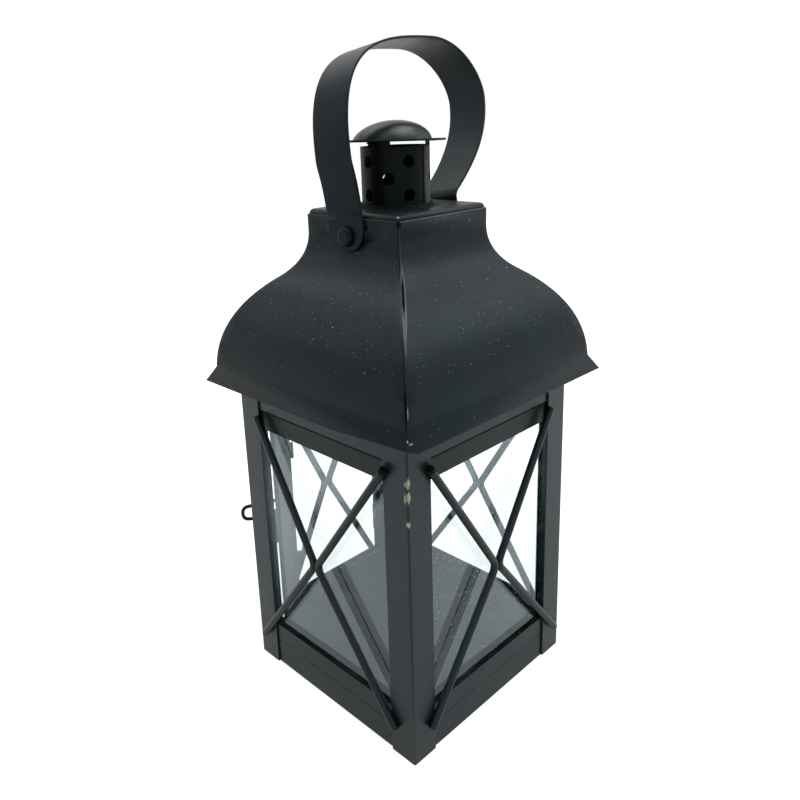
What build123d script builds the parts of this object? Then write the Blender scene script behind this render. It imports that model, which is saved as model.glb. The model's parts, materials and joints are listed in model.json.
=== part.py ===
"""Square sheet-metal candle lantern with a hinged glazed door and a swinging strap handle."""
import math
import os

from build123d import *

os.makedirs("parts", exist_ok=True)

# Driving sizes, millimetres
body_width = 125.0
post_flange = 15.5
post_sheet = 1.0
sheet = 0.8
skirt_height = 14.75
tray_lip = 2.0
sill_height = 11.0
window_height = 122.25
head_height = 11.3
band_height = 21.9
seat_border = 17.6
eave_width = 151.0
bend_inset = 4.63
lip_drop = 7.7
ogee_height = 72.45
collar_width = 64.8
collar_height = 8.15
crown_rise = 2.6
pan_round = 2.2
neck_height = 1.7
neck_flare = 1.8
tube_radius = 17.4
tube_height = 27.9
tube_sheet = 0.7
lap_sheet = 0.45
tab_reach = 3.5
hole_diameter = 6.0
cap_lift = 2.5
cap_radius = 25.6
dome_radius = 20.0
dome_height = 10.0
brim_roll = 0.7
pivot_drop = 8.84
strap_width = 24.8
strap_sheet = 1.2
handle_rise = 92.9
handle_near = 37.45
handle_far = 67.9
crest_shift = 29.0
handle_lean = 7.8
handle_standoff = 1.55
rivet_radius = 2.5
wire_diameter = 4.0
glass_sheet = 2.0
glass_setback = 2.75
glass_width = 100.0
shelf_depth = 3.0
door_border = 13.0
door_sheet = 1.2
door_proud = 0.7
pull_wire = 2.1
pull_reach = 23.2
stop_height = 22.0
stop_lap = 1.5
stop_reach = 3.5
hinge_height = 18.0
knuckle_radius = 2.0
pin_radius = 1.0

# Clearances and fits
foot_reveal = 0.25
tangent_gap = 0.02
seam_gap = 0.1
door_gap = 1.2
door_foot = 0.4
pivot_gap = 0.35
running_fit = 0.06
glass_play = 0.15
stop_gap = 0.4
knuckle_play = 0.2

# Levels, from the table up
floor_z = skirt_height
sill_top_z = floor_z + sill_height
head_z = sill_top_z + window_height
band_z = head_z + head_height
seat_z = band_z + band_height
bend_z = seat_z - 0.25 * sheet
collar_z = bend_z + ogee_height
collar_top_z = collar_z + collar_height
pivot_z = collar_top_z - pivot_drop
crown_z = collar_top_z + crown_rise
neck_z = crown_z + neck_height
tube_top_z = neck_z + tube_height
cap_z = tube_top_z + cap_lift
door_low_z = floor_z + door_foot
door_high_z = band_z - door_gap
door_mid_z = (door_low_z + door_high_z) / 2

# Half widths, from the axis out
body_half = body_width / 2
rail_half = body_half - post_sheet
post_edge = body_half - post_flange
eave_half = eave_width / 2
bend_half = eave_half - bend_inset
collar_half = collar_width / 2
pane_out = body_half - glass_setback
pane_in = pane_out - glass_sheet
shelf_in = pane_in - shelf_depth
door_half = post_edge - door_gap
door_out = rail_half + door_proud
door_in = door_out - door_sheet

FACES = {"right": 0, "rear": 90, "left": 180}
FRONT = 270


def radial_plane(turn):
    """Upright plane through the axis: local x points out of the face, local y is up."""
    angle = math.radians(turn)
    return Plane(
        (0, 0, 0),
        x_dir=(math.cos(angle), math.sin(angle), 0),
        z_dir=(math.sin(angle), -math.cos(angle), 0),
    )


def wall_plane(turn, distance):
    """Upright plane parallel to a face: local x runs along the face, local y is up."""
    angle = math.radians(turn)
    out = (math.cos(angle), math.sin(angle), 0)
    return Plane(
        (out[0] * distance, out[1] * distance, 0),
        x_dir=(-math.sin(angle), math.cos(angle), 0),
        z_dir=out,
    )


def flat_plane(turn, height):
    """Level plane at a height: local x points out of the face."""
    angle = math.radians(turn)
    return Plane((0, 0, height), x_dir=(math.cos(angle), math.sin(angle), 0), z_dir=(0, 0, 1))


def hip_plane(turn, way):
    """Diagonal plane that bounds a face's quarter, set back half a seam."""
    angle = math.radians(turn + 45 * way)
    normal = (math.cos(angle), math.sin(angle), 0)
    return Plane((normal[0] * seam_gap, normal[1] * seam_gap, 0), z_dir=normal)


def ray(radius, degrees):
    return (radius * math.cos(math.radians(degrees)), radius * math.sin(math.radians(degrees)))


def save(part, name):
    part.label = name
    export_step(part, f"parts/{name}.step")


# Base tray: floor and skirt pressed from one sheet, with a low lip behind the foot of the door
with BuildPart() as base_tray:
    with BuildSketch(Plane.XY.offset(foot_reveal)):
        Rectangle(2 * rail_half, 2 * rail_half)
    extrude(amount=floor_z - foot_reveal)
    fillet(base_tray.faces().sort_by(Axis.Z)[-1].edges(), radius=0.4 * sheet)
    with BuildSketch(Plane.XY.offset(foot_reveal)):
        Rectangle(2 * (rail_half - sheet), 2 * (rail_half - sheet))
    extrude(amount=floor_z - foot_reveal - sheet, mode=Mode.SUBTRACT)
    with BuildSketch(Plane.XY.offset(floor_z - sheet / 2)):
        with Locations((0, stop_gap + sheet / 2 - door_in)):
            Rectangle(2 * post_edge, sheet)
    extrude(amount=tray_lip + sheet / 2)
save(base_tray.part, "base_tray")


# Corner posts: bent angle, full height, standing on their lower ends
def corner_post(turn):
    with BuildPart() as post:
        with BuildSketch(flat_plane(turn, 0)):
            with BuildLine():
                Polyline(
                    (body_half, body_half),
                    (post_edge, body_half),
                    (post_edge, rail_half),
                    (rail_half, rail_half),
                    (rail_half, post_edge),
                    (body_half, post_edge),
                    close=True,
                )
            make_face()
        extrude(amount=seat_z)
        arris = post.edges().filter_by(Axis.Z).sort_by_distance((0, 0, seat_z / 2))[-1]
        fillet(arris, radius=0.9 * post_sheet)
    return post.part


save(corner_post(0), "rear_right_post")
save(corner_post(90), "rear_left_post")
save(corner_post(180), "front_left_post")
save(corner_post(270), "front_right_post")


# Window sills and head rails on the three fixed faces
def window_sill(turn):
    with BuildPart() as sill:
        with BuildSketch(radial_plane(turn)) as section:
            with BuildLine():
                Polyline(
                    (shelf_in, floor_z),
                    (rail_half, floor_z),
                    (rail_half, sill_top_z),
                    (rail_half - sheet, sill_top_z),
                    (rail_half - sheet, floor_z + sheet),
                    (shelf_in, floor_z + sheet),
                    close=True,
                )
            make_face()
            fillet(section.vertices().group_by(Axis.X)[-1].sort_by(Axis.Y)[0], radius=0.4 * sheet)
        extrude(amount=rail_half, both=True)
        split(bisect_by=hip_plane(turn, 1), keep=Keep.TOP)
        split(bisect_by=hip_plane(turn, -1), keep=Keep.TOP)
    return sill.part


def head_rail(turn):
    face = rail_half - sheet
    lap_z = band_z + 0.5 * band_height
    with BuildPart() as rail:
        with BuildSketch(radial_plane(turn)):
            with BuildLine():
                Polyline(
                    (face, head_z),
                    (face, lap_z),
                    (face - sheet, lap_z),
                    (face - sheet, band_z),
                    (shelf_in, band_z),
                    (shelf_in, band_z - sheet),
                    (face - sheet, band_z - sheet),
                    (face - sheet, head_z),
                    close=True,
                )
            make_face()
        extrude(amount=rail_half, both=True)
        split(bisect_by=hip_plane(turn, 1), keep=Keep.TOP)
        split(bisect_by=hip_plane(turn, -1), keep=Keep.TOP)
    return rail.part


for side, turn in FACES.items():
    save(window_sill(turn), f"{side}_sill")
    save(head_rail(turn), f"{side}_head_rail")

# Band under the eave: one strip folded round all four faces
with BuildPart() as top_band:
    with BuildSketch(Plane.XY.offset(band_z)):
        Rectangle(2 * rail_half, 2 * rail_half)
        Rectangle(2 * (rail_half - sheet), 2 * (rail_half - sheet), mode=Mode.SUBTRACT)
    extrude(amount=band_height)
save(top_band.part, "top_band")

# Fixed glass and the bent clips that hold it against the rails
clip_sheet = 0.75 * sheet
clip_length = 0.1 * glass_width
clip_lip = 0.35 * sill_height
pane_low_z = floor_z + sheet + clip_sheet + glass_play
pane_high_z = band_z - sheet - clip_sheet - glass_play
clip_in = pane_in - glass_play - clip_sheet


def glass_pane(turn):
    with BuildPart() as pane:
        with BuildSketch(wall_plane(turn, pane_in)):
            with Locations((0, (pane_low_z + pane_high_z) / 2)):
                Rectangle(glass_width, pane_high_z - pane_low_z)
        extrude(amount=glass_sheet)
    return pane.part


for side, turn in FACES.items():
    save(glass_pane(turn), f"{side}_glass")

with BuildPart() as glass_clips:
    for turn in FACES.values():
        for base, way in ((floor_z + sheet, 1), (band_z - sheet, -1)):
            for along in (-0.3 * glass_width, 0.3 * glass_width):
                with BuildSketch(radial_plane(turn).offset(along - clip_length / 2)):
                    with BuildLine():
                        Polyline(
                            (clip_in, base),
                            (pane_out, base),
                            (pane_out, base + way * clip_sheet),
                            (clip_in + clip_sheet, base + way * clip_sheet),
                            (clip_in + clip_sheet, base + way * clip_lip),
                            (clip_in, base + way * clip_lip),
                            close=True,
                        )
                    make_face()
                extrude(amount=clip_length)
save(glass_clips.part, "glass_clips")

# Cross wires: two bent rods on each face, back to back at the middle
wire_radius = wire_diameter / 2
wire_bend = 3 * wire_radius
wire_top_z = band_z - 0.25 * head_height
wire_low_z = floor_z + 0.16 * sill_height
wire_levels = (wire_top_z, (wire_top_z + wire_low_z) / 2 - 0.02 * window_height, wire_low_z)
near_reach = (post_edge + 0.2 * post_flange, post_edge + 0.3 * post_flange)
far_reach = (post_edge - 0.04 * post_flange, post_edge + 0.55 * post_flange)
left_front_reach = (post_edge + 0.08 * post_flange, post_edge - 0.06 * post_flange)
left_rear_reach = (post_edge - 0.06 * post_flange, post_edge + 0.06 * post_flange)
right_shift = -0.024 * body_width
left_shift = -0.0144 * body_width


def knee_corner(reach, levels):
    """Distance of a rod's sharp corner from the middle line that lets its rounded knee touch that line."""
    corner = 0
    for _ in range(4):
        upper = math.atan2(levels[0] - levels[1], reach[0] - corner)
        lower = math.atan2(levels[1] - levels[2], reach[1] - corner)
        centre = wire_bend * math.cos((upper - lower) / 2) / math.sin((upper + lower) / 2)
        corner = wire_radius + tangent_gap + wire_bend - centre
    return corner


def cross_wire(turn, standoff, way, reach, levels, shift):
    """One bent rod: top end, knee at the middle of the face, bottom end."""
    knee = knee_corner([end - way * shift for end in reach], levels)
    with BuildPart() as wire:
        with BuildLine(wall_plane(turn, standoff + wire_radius + tangent_gap)) as path:
            FilletPolyline(
                (way * reach[0], levels[0]),
                (way * knee + shift, levels[1]),
                (way * reach[1], levels[2]),
                radius=wire_bend,
            )
        with BuildSketch(Plane(origin=path.line @ 0, z_dir=path.line % 0)):
            Circle(wire_radius)
        sweep()
    return wire.part


save(cross_wire(0, body_half, 1, near_reach, wire_levels, right_shift), "right_rear_wire")
save(cross_wire(0, body_half, -1, far_reach, wire_levels, right_shift), "right_front_wire")
save(cross_wire(90, body_half, -1, near_reach, wire_levels, 0), "rear_right_wire")
save(cross_wire(90, body_half, 1, far_reach, wire_levels, 0), "rear_left_wire")
save(cross_wire(180, body_half, 1, left_front_reach, wire_levels, left_shift), "left_front_wire")
save(cross_wire(180, body_half, -1, left_rear_reach, wire_levels, left_shift), "left_rear_wire")

# Roof seat: flat frame that closes the top of the body and carries the roof
seat_half = bend_half - 1.2 * sheet
with BuildPart() as roof_seat:
    with BuildSketch(Plane.XY.offset(seat_z)):
        Rectangle(2 * seat_half, 2 * seat_half)
        Rectangle(2 * (seat_half - seat_border), 2 * (seat_half - seat_border), mode=Mode.SUBTRACT)
    extrude(amount=sheet)
save(roof_seat.part, "roof_seat")

# Roof panels: collar, ogee and eave lip in one sheet, mitred at the hips
slope = math.radians(36.84)
flank = math.radians(3.15)
lip = math.atan2(bend_inset, lip_drop)


def roof_line(inset):
    """Section of the roof skin at a depth below its outside: points and curve knees, top to eave."""
    top = (collar_half - inset, collar_top_z)
    base = (collar_half - inset, collar_z)
    turn_half = collar_half + 0.3115 * (bend_half - collar_half) - inset * math.sin(slope)
    turn_z = collar_z - 0.3313 * ogee_height - inset * math.cos(slope)
    fold_half = bend_half - inset * math.cos(flank)
    fold_z = bend_z - inset * math.sin(flank)
    upper_z = turn_z + math.tan(slope) * (turn_half - base[0])
    rise = turn_z - fold_z + math.tan(slope) * (turn_half - fold_half)
    lower_z = fold_z + rise / (1 - math.tan(slope) * math.tan(flank))
    lower_half = fold_half - math.tan(flank) * (lower_z - fold_z)
    eave = (eave_half - inset * math.cos(lip), bend_z - lip_drop - inset * math.sin(lip))
    upper = (base, (base[0], upper_z), (turn_half, turn_z))
    lower = ((turn_half, turn_z), (lower_half, lower_z), (fold_half, fold_z))
    return top, upper, lower, eave


def roof_panel(turn, riveted):
    with BuildPart() as panel:
        with BuildSketch(radial_plane(turn)):
            with BuildLine():
                ends = []
                for inset in (0, sheet):
                    top, upper, lower, eave = roof_line(inset)
                    Line(top, upper[0])
                    Bezier(*upper)
                    Bezier(*lower)
                    Line(lower[2], eave)
                    ends.append((top, eave))
                Line(ends[0][0], ends[1][0])
                Line(ends[0][1], ends[1][1])
            make_face()
        extrude(amount=eave_half, both=True)
        split(bisect_by=hip_plane(turn, 1), keep=Keep.TOP)
        split(bisect_by=hip_plane(turn, -1), keep=Keep.TOP)
        if riveted:
            with BuildSketch(wall_plane(turn, collar_half - 2 * sheet)):
                with Locations((0, pivot_z)):
                    Circle(rivet_radius)
            extrude(amount=3 * sheet, mode=Mode.SUBTRACT)
    return panel.part


save(roof_panel(0, True), "right_roof_panel")
save(roof_panel(90, False), "rear_roof_panel")
save(roof_panel(180, True), "left_roof_panel")
save(roof_panel(270, False), "front_roof_panel")

# Crown plate: pressed pan let into the collar, with a raised neck round the chimney
pan_half = collar_half - sheet - tangent_gap
pan_low_z = collar_top_z - 0.35 * collar_height
with BuildPart() as crown_plate:
    with BuildSketch(Plane.XY.offset(pan_low_z)):
        Rectangle(2 * pan_half, 2 * pan_half)
    extrude(amount=crown_z - pan_low_z)
    fillet(crown_plate.faces().sort_by(Axis.Z)[-1].edges(), radius=pan_round)
    with BuildSketch(Plane.XY.offset(pan_low_z)):
        Rectangle(2 * (pan_half - sheet), 2 * (pan_half - sheet))
    extrude(amount=crown_z - pan_low_z - pan_round, mode=Mode.SUBTRACT)
    with BuildSketch(Plane.XY.offset(crown_z)):
        Circle(tube_radius + neck_flare)
    extrude(amount=neck_z - crown_z, taper=25)
    with BuildSketch(Plane.XY.offset(pan_low_z)):
        Circle(tube_radius + tangent_gap)
    extrude(amount=neck_z - pan_low_z + sheet, mode=Mode.SUBTRACT)
save(crown_plate.part, "crown_plate")

# Chimney tube: rolled sheet with a lap seam, punched vent holes and tabs for the cap
lap_start = 96
lap_sweep = 22
tabs = 3
tab_start = 4
tab_sweep = 33
middle_vents = (-39.7, 32.8, 119.8, 186.6, 253.4)
edge_vents = (-6.0, 67.0, 154.0, 255.0, 305.0)
row_z = neck_z + 0.46 * tube_height
row_pitch = 1.35 * hole_diameter
with BuildPart() as chimney_tube:
    with BuildSketch(Plane.XY.offset(pan_low_z)):
        Circle(tube_radius)
    extrude(amount=tube_top_z - pan_low_z)
    with BuildSketch(Plane.XY.offset(neck_z + tangent_gap)):
        Circle(tube_radius + lap_sheet)
        with BuildLine():
            Polyline(
                (0, 0),
                ray(2 * tube_radius, lap_start),
                ray(2 * tube_radius, lap_start + lap_sweep),
                close=True,
            )
        make_face(mode=Mode.INTERSECT)
    extrude(amount=tube_top_z - neck_z - tangent_gap)
    for tab in range(tabs):
        tab_turn = tab_start + tab * 360 / tabs
        with BuildSketch(Plane.XY.offset(tube_top_z)):
            Circle(tube_radius)
            with BuildLine():
                Polyline(
                    (0, 0),
                    ray(2 * tube_radius, tab_turn),
                    ray(2 * tube_radius, tab_turn + tab_sweep),
                    close=True,
                )
            make_face(mode=Mode.INTERSECT)
        extrude(amount=cap_z - tube_top_z)
        with BuildSketch(Plane.XY.offset(cap_z - tube_sheet)):
            Circle(tube_radius + tab_reach)
            with BuildLine():
                Polyline(
                    (0, 0),
                    ray(2 * tube_radius, tab_turn),
                    ray(2 * tube_radius, tab_turn + tab_sweep),
                    close=True,
                )
            make_face(mode=Mode.INTERSECT)
        extrude(amount=tube_sheet)
    with BuildSketch(Plane.XY.offset(pan_low_z)):
        Circle(tube_radius - tube_sheet)
    extrude(amount=cap_z - pan_low_z, mode=Mode.SUBTRACT)
    for row, vents in ((-1, edge_vents), (0, middle_vents), (1, edge_vents)):
        for vent in vents:
            with BuildSketch(wall_plane(vent, tube_radius / 2)):
                with Locations((0, row_z + row * row_pitch)):
                    Circle(hole_diameter / 2)
            extrude(amount=tube_radius, mode=Mode.SUBTRACT)
save(chimney_tube.part, "chimney_tube")

# Chimney cap: shallow dome with a flat brim and a rolled edge
dome_rise = dome_height - sheet
dome_sphere = (dome_radius**2 + dome_rise**2) / (2 * dome_rise)
dome_top_z = cap_z + dome_height
dome_centre_z = dome_top_z - dome_sphere
dome_angle = math.asin(dome_radius / dome_sphere)
inner_sphere = dome_sphere - sheet
inner_half = math.sqrt(inner_sphere**2 - (cap_z - dome_centre_z) ** 2)
inner_angle = math.asin(inner_half / inner_sphere)
with BuildPart() as chimney_cap:
    with BuildSketch(Plane.XZ):
        with BuildLine():
            ThreePointArc(
                (0, dome_top_z),
                (dome_sphere * math.sin(dome_angle / 2), dome_centre_z + dome_sphere * math.cos(dome_angle / 2)),
                (dome_radius, cap_z + sheet),
            )
            Polyline(
                (dome_radius, cap_z + sheet),
                (cap_radius - brim_roll, cap_z + sheet),
                (cap_radius - brim_roll, cap_z),
                (inner_half, cap_z),
            )
            ThreePointArc(
                (inner_half, cap_z),
                (inner_sphere * math.sin(inner_angle / 2), dome_centre_z + inner_sphere * math.cos(inner_angle / 2)),
                (0, dome_top_z - sheet),
            )
            Line((0, dome_top_z - sheet), (0, dome_top_z))
        make_face()
        with Locations((cap_radius - brim_roll, cap_z + sheet / 2)):
            Circle(brim_roll)
    revolve(axis=Axis.Z)
save(chimney_cap.part, "chimney_cap")

# Strap handle: flat strip bent to a lopsided arch, leaning a little on its two rivets
leg_x = collar_half + handle_standoff + strap_sheet / 2
leg_drop = 0.3 * strap_width
leg_rise = 0.097 * handle_rise
crest = handle_rise - strap_sheet / 2
near = handle_near - strap_sheet / 2
near_rise = 0.386 * crest
far = handle_far - strap_sheet / 2
far_rise = 0.674 * crest
foot = Vector(-1.097 * leg_x, 0.177 * crest)
foot_way = Vector(0.771, -0.637)
lean = math.radians(handle_lean)
handle_plane = Plane((0, 0, pivot_z), x_dir=(1, 0, 0), z_dir=(0, -math.cos(lean), -math.sin(lean)))
with BuildLine() as arch:
    Bezier((leg_x, leg_rise), (leg_x, leg_rise + 0.2 * crest), (near, near_rise - 0.03 * crest), (near, near_rise))
    Bezier(
        (near, near_rise),
        (near, near_rise + 0.89 * (crest - near_rise)),
        (0.65 * near - 0.35 * crest_shift, crest),
        (-crest_shift, crest),
    )
    Bezier(
        (-crest_shift, crest),
        (-0.626 * far - 0.374 * crest_shift, crest),
        (-far, far_rise + 0.378 * (crest - far_rise)),
        (-far, far_rise),
    )
    Bezier((-far, far_rise), (-far, far_rise - 0.237 * crest), foot - foot_way * 0.142 * crest, foot)
    Bezier(foot, foot + foot_way * 0.047 * crest, (-leg_x, leg_rise + 0.068 * crest), (-leg_x, leg_rise))
middle = arch.wires()[0]
stations = 72


def beside(offset):
    """Points along the arch, moved sideways out of its middle line."""
    points = []
    for station in range(stations + 1):
        way = middle % (station / stations)
        points.append(middle @ (station / stations) + Vector(way.Y, -way.X) * offset)
    return points


with BuildPart() as handle_strap:
    with BuildSketch(handle_plane):
        with BuildLine():
            Spline(*beside(strap_sheet / 2), tangents=((0, 1), (0, -1)))
            Spline(*beside(-strap_sheet / 2), tangents=((0, 1), (0, -1)))
            for side in (-1, 1):
                Polyline(
                    (side * (leg_x + strap_sheet / 2), leg_rise),
                    (side * (leg_x + strap_sheet / 2), -leg_drop),
                    (side * (leg_x - strap_sheet / 2), -leg_drop),
                    (side * (leg_x - strap_sheet / 2), leg_rise),
                )
        make_face()
    extrude(amount=strap_width / 2, both=True)
    fillet(handle_strap.edges().filter_by(Axis.X), radius=0.48 * strap_width)
    with BuildSketch(wall_plane(0, -collar_width)):
        with Locations((0, pivot_z)):
            Circle(rivet_radius + running_fit)
    extrude(amount=2 * collar_width, mode=Mode.SUBTRACT)
save(handle_strap.part, "handle_strap")

rivet_grip = collar_half + handle_standoff + strap_sheet + pivot_gap
rivet_tail = collar_half - sheet
with BuildPart() as handle_rivets:
    for turn in (0, 180):
        with BuildSketch(wall_plane(turn, rivet_tail)):
            with Locations((0, pivot_z)):
                Circle(rivet_radius)
        extrude(amount=rivet_grip - rivet_tail)
        with BuildSketch(wall_plane(turn, rivet_tail - 0.6 * rivet_radius)):
            with Locations((0, pivot_z)):
                Circle(1.6 * rivet_radius)
        extrude(amount=0.6 * rivet_radius)
        with BuildSketch(wall_plane(turn, collar_half + pivot_gap)):
            with Locations((0, pivot_z)):
                Circle(1.3 * rivet_radius)
        extrude(amount=handle_standoff - 2 * pivot_gap)
        with BuildSketch(wall_plane(turn, rivet_grip)):
            with Locations((0, pivot_z)):
                Circle(2 * rivet_radius)
        extrude(amount=0.95 * rivet_radius)
    heads = handle_rivets.edges().filter_by(GeomType.CIRCLE).group_by(lambda edge: round(abs(edge.center().X), 3))
    fillet(heads[-1], radius=0.85 * rivet_radius)
save(handle_rivets.part, "handle_rivets")

# Door: flat frame, glass behind it, clips, cross wires, pull
opening_half = door_half - door_border
opening_low_z = door_low_z + door_border
opening_high_z = door_high_z - door_border
rabbet = 0.27 * door_border
with BuildPart() as door_frame:
    with BuildSketch(wall_plane(FRONT, door_in)):
        with Locations((0, door_mid_z)):
            Rectangle(2 * door_half, door_high_z - door_low_z)
            Rectangle(2 * opening_half, opening_high_z - opening_low_z, mode=Mode.SUBTRACT)
    extrude(amount=door_sheet)
save(door_frame.part, "door_frame")

with BuildPart() as door_glass:
    with BuildSketch(wall_plane(FRONT, door_in - glass_sheet)):
        with Locations((0, door_mid_z)):
            Rectangle(2 * (opening_half + rabbet), opening_high_z - opening_low_z + 2 * rabbet)
    extrude(amount=glass_sheet)
save(door_glass.part, "door_glass")

clip_foot = 0.3 * door_border
clip_back = door_in - glass_sheet - glass_play - clip_sheet
with BuildPart() as door_glass_clips:
    for way in (-1, 1):
        edge = opening_half + rabbet + glass_play
        for level in (0.25, 0.75):
            level_z = door_low_z + level * (door_high_z - door_low_z) - clip_length / 2
            with BuildSketch(flat_plane(FRONT, level_z)):
                with BuildLine():
                    Polyline(
                        (door_in, way * (edge + clip_foot)),
                        (door_in, way * edge),
                        (clip_back + clip_sheet, way * edge),
                        (clip_back + clip_sheet, way * (edge - clip_foot)),
                        (clip_back, way * (edge - clip_foot)),
                        (clip_back, way * (edge + clip_sheet)),
                        (door_in - clip_sheet, way * (edge + clip_sheet)),
                        (door_in - clip_sheet, way * (edge + clip_foot)),
                        close=True,
                    )
                make_face()
            extrude(amount=clip_length)
        edge = door_mid_z + way * ((opening_high_z - opening_low_z) / 2 + rabbet + glass_play)
        with BuildSketch(radial_plane(FRONT)):
            with BuildLine():
                Polyline(
                    (door_in, edge + way * clip_foot),
                    (door_in, edge),
                    (clip_back + clip_sheet, edge),
                    (clip_back + clip_sheet, edge - way * clip_foot),
                    (clip_back, edge - way * clip_foot),
                    (clip_back, edge + way * clip_sheet),
                    (door_in - clip_sheet, edge + way * clip_sheet),
                    (door_in - clip_sheet, edge + way * clip_foot),
                    close=True,
                )
            make_face()
        extrude(amount=clip_length / 2, both=True)
save(door_glass_clips.part, "door_glass_clips")

door_right_reach = (door_half - 0.75 * door_border, door_half - 0.5 * door_border)
door_left_reach = (door_half - 0.8 * door_border, door_half - 0.9 * door_border)
door_shift = 0.032 * body_width
door_levels = (door_high_z - 0.25 * door_border, door_mid_z + 0.02 * window_height, door_low_z + 0.5 * door_border)
save(cross_wire(FRONT, door_out, 1, door_right_reach, door_levels, door_shift), "door_right_wire")
save(cross_wire(FRONT, door_out, -1, door_left_reach, door_levels, door_shift), "door_left_wire")

pull_angle = math.radians(30)
pull_z = door_mid_z
pull_way = (math.cos(pull_angle), -math.sin(pull_angle), 0)
pull_plane = Plane(
    (door_half - 0.38 * door_border, -door_out, pull_z),
    x_dir=pull_way,
    z_dir=(pull_way[1], -pull_way[0], 0),
)
with BuildPart() as door_pull:
    with BuildLine(pull_plane) as pull_path:
        FilletPolyline(
            (-2 * pull_wire, 2.9 * pull_wire),
            (pull_reach, 1.8 * pull_wire),
            (pull_reach, -1.8 * pull_wire),
            (-2 * pull_wire, -2.9 * pull_wire),
            radius=1.6 * pull_wire,
        )
    with BuildSketch(Plane(origin=pull_path.line @ 0, z_dir=pull_path.line % 0)):
        Circle(pull_wire / 2)
    sweep()
    split(bisect_by=Plane((0, -door_out, 0), z_dir=(0, -1, 0)), keep=Keep.TOP)
save(door_pull.part, "door_pull")

# Stop plate on the latch-side post, stepped in behind the door's edge
stop_z = door_mid_z - 0.07 * window_height
stop_face = door_in - stop_gap
step = rail_half - stop_face
with BuildPart() as door_stop:
    with BuildSketch(flat_plane(FRONT, stop_z - stop_height / 2)):
        with BuildLine():
            Polyline(
                (rail_half, post_edge + 0.75 * post_flange),
                (rail_half, post_edge + stop_lap),
                (stop_face, post_edge + stop_lap - step),
                (stop_face, door_half - stop_reach),
                (stop_face - sheet, door_half - stop_reach),
                (stop_face - sheet, post_edge + stop_lap - step + 0.4 * sheet),
                (rail_half - sheet, post_edge + stop_lap + 0.4 * sheet),
                (rail_half - sheet, post_edge + 0.75 * post_flange),
                close=True,
            )
        make_face()
    extrude(amount=stop_height)
save(door_stop.part, "door_stop")

# Hinges: two butt hinges on the far post, each with two post knuckles, one door knuckle and a pin
hinge_x = -(post_edge - door_gap / 2)
hinge_y = body_half + knuckle_radius + pivot_gap
leaf_out = body_half + sheet
leaf_width = 0.7 * post_flange
knuckle = (hinge_height - 2 * knuckle_play) / 3
swing_room = knuckle_radius + pivot_gap
hinge_levels = (door_low_z + 0.24 * (door_high_z - door_low_z), door_low_z + 0.8 * (door_high_z - door_low_z))
knuckle_starts = (-hinge_height / 2, -knuckle / 2, knuckle / 2 + knuckle_play)

with BuildPart() as hinge_post_leaves:
    for level in hinge_levels:
        with BuildSketch(flat_plane(FRONT, level - hinge_height / 2)):
            with Locations(((body_half + leaf_out) / 2, hinge_x - swing_room - leaf_width / 2)):
                Rectangle(leaf_out - body_half, leaf_width)
        extrude(amount=hinge_height)
        for start in (knuckle_starts[0], knuckle_starts[2]):
            with BuildSketch(flat_plane(FRONT, level + start)):
                with Locations(((body_half + leaf_out) / 2, hinge_x - swing_room / 2)):
                    Rectangle(leaf_out - body_half, swing_room)
                with Locations((hinge_y, hinge_x)):
                    Circle(knuckle_radius)
                    Circle(pin_radius, mode=Mode.SUBTRACT)
            extrude(amount=knuckle)
save(hinge_post_leaves.part, "hinge_post_leaves")

with BuildPart() as hinge_door_leaves:
    for level in hinge_levels:
        with BuildSketch(flat_plane(FRONT, level - hinge_height / 2)):
            with Locations(((door_out + leaf_out) / 2, hinge_x + swing_room + leaf_width / 2)):
                Rectangle(leaf_out - door_out, leaf_width)
        extrude(amount=hinge_height)
        with BuildSketch(flat_plane(FRONT, level + knuckle_starts[1])):
            with Locations(((door_out + leaf_out) / 2, hinge_x + swing_room / 2)):
                Rectangle(leaf_out - door_out, swing_room)
            with Locations((hinge_y, hinge_x)):
                Circle(knuckle_radius)
                Circle(pin_radius + running_fit, mode=Mode.SUBTRACT)
        extrude(amount=knuckle)
save(hinge_door_leaves.part, "hinge_door_leaves")

pin_head = 1.5 * pin_radius
with BuildPart() as hinge_pins:
    for level in hinge_levels:
        with BuildSketch(flat_plane(FRONT, level - hinge_height / 2)):
            with Locations((hinge_y, hinge_x)):
                Circle(pin_radius)
        extrude(amount=hinge_height)
        for start in (-hinge_height / 2 - pin_radius, hinge_height / 2):
            with BuildSketch(flat_plane(FRONT, level + start)):
                with Locations((hinge_y, hinge_x)):
                    Circle(pin_head)
            extrude(amount=pin_radius)
save(hinge_pins.part, "hinge_pins")
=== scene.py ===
"""Looks of a black sheet-metal candle lantern: paint, glass, wear, and a plain white studio."""

import json
import math

import bpy
from mathutils import Matrix, Vector


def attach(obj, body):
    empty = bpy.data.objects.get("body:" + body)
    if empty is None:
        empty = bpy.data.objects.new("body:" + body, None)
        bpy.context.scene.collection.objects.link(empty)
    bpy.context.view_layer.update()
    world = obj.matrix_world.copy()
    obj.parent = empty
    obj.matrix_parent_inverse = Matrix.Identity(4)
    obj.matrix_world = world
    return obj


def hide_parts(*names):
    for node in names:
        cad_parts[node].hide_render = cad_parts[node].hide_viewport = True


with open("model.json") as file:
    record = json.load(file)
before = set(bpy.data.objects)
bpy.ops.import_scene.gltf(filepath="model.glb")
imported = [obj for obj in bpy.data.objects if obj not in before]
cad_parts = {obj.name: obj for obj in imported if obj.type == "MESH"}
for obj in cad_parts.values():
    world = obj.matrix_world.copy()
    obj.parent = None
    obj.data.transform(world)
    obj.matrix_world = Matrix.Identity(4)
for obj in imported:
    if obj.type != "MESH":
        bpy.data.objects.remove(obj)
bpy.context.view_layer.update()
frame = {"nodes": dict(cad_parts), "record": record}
nodes = frame["nodes"]
slot_of = {row["node"]: row["material_slot"] for row in frame["record"]["subparts"]}

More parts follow.
